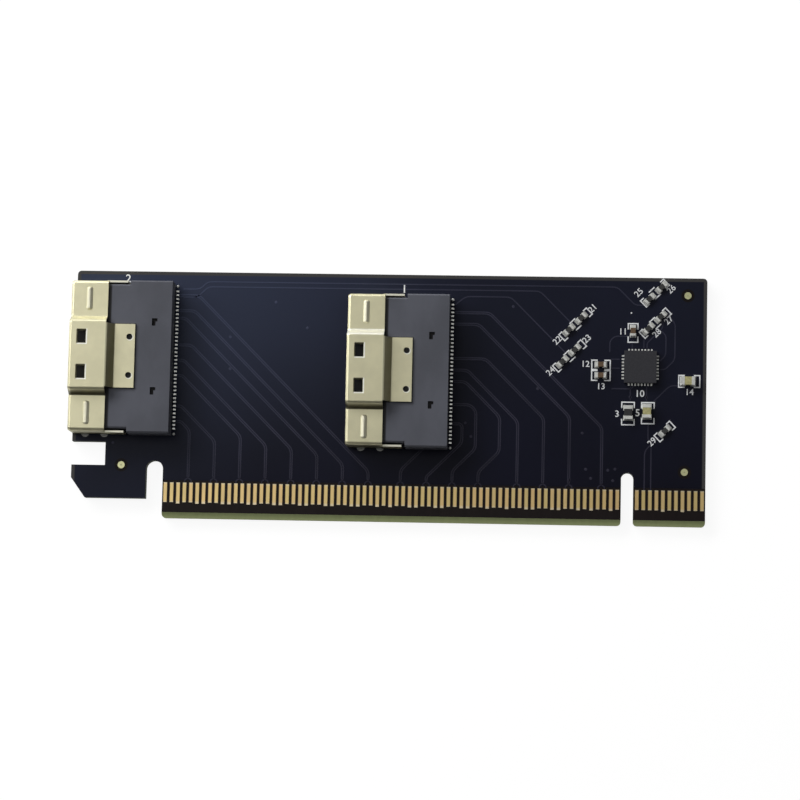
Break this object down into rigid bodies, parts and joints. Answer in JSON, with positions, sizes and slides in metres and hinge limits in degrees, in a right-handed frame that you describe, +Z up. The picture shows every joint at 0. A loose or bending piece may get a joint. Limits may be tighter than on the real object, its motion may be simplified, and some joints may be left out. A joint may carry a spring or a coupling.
{
  "type": "pcie adapter card",
  "caption": "Flat circuit card with a gold edge connector and retention hook that takes the bus lanes of a slot out to right-angle, metal-shelled cable sockets.",
  "frame": {"origin": "centre line of the key notch, at the lower edge of the edge connector's tongue, on the solder side, which is the face the card lies on", "axes": "+X along the card from the retention hook to the short end, +Y from the edge connector to the opposite edge, +Z up out of the component side"},
  "size_m": [0.0985, 0.0386, 0.0072],
  "materials": {
    "masked_laminate": "near-black solder mask over glass laminate",
    "gold_plating": "thin pale gold plating",
    "solder_tin": "tinned",
    "shell_sheet": "pale nickel-plated formed sheet",
    "housing_plastic": "slate grey moulding",
    "carrier_plastic": "black moulding",
    "contact_alloy": "gold-flashed copper alloy",
    "capacitor_ceramic": "tan sintered ceramic",
    "bead_ferrite": "dark sintered ferrite",
    "resistor_glaze": "black glaze over white ceramic",
    "chip_moulding": "dark grey moulding compound"
  },
  "bodies": {
    "root": {"bulk_capacitor_body": "capacitor_ceramic", "bulk_capacitor_ends": "solder_tin", "card_end_capacitor_body": "capacitor_ceramic", "card_end_capacitor_ends": "solder_tin", "chip_lands": "solder_tin", "chip_side_capacitor_body": "capacitor_ceramic", "chip_side_capacitor_ends": "solder_tin", "circuit_board": "masked_laminate", "clock_chip_body": "chip_moulding", "clock_chip_heat_pad": "solder_tin", "clock_chip_leads": "solder_tin", "component_lands": "solder_tin", "ferrite_bead_body": "bead_ferrite", "ferrite_bead_ends": "solder_tin", "fiducial_dots": "gold_plating", "front_edge_fingers": "gold_plating", "inner_socket_contact_carrier": "carrier_plastic", "inner_socket_housing": "housing_plastic", "inner_socket_lower_contacts": "contact_alloy", "inner_socket_shell": "shell_sheet", "inner_socket_upper_contacts": "contact_alloy", "lower_input_capacitor_body": "capacitor_ceramic", "lower_input_capacitor_ends": "solder_tin", "outer_socket_contact_carrier": "carrier_plastic", "outer_socket_housing": "housing_plastic", "outer_socket_lower_contacts": "contact_alloy", "outer_socket_shell": "shell_sheet", "outer_socket_upper_contacts": "contact_alloy", "rear_edge_fingers": "gold_plating", "resistor_bodies": "resistor_glaze", "resistor_ends": "solder_tin", "upper_input_capacitor_body": "capacitor_ceramic", "upper_input_capacitor_ends": "solder_tin"}
  },
  "joints": []
}
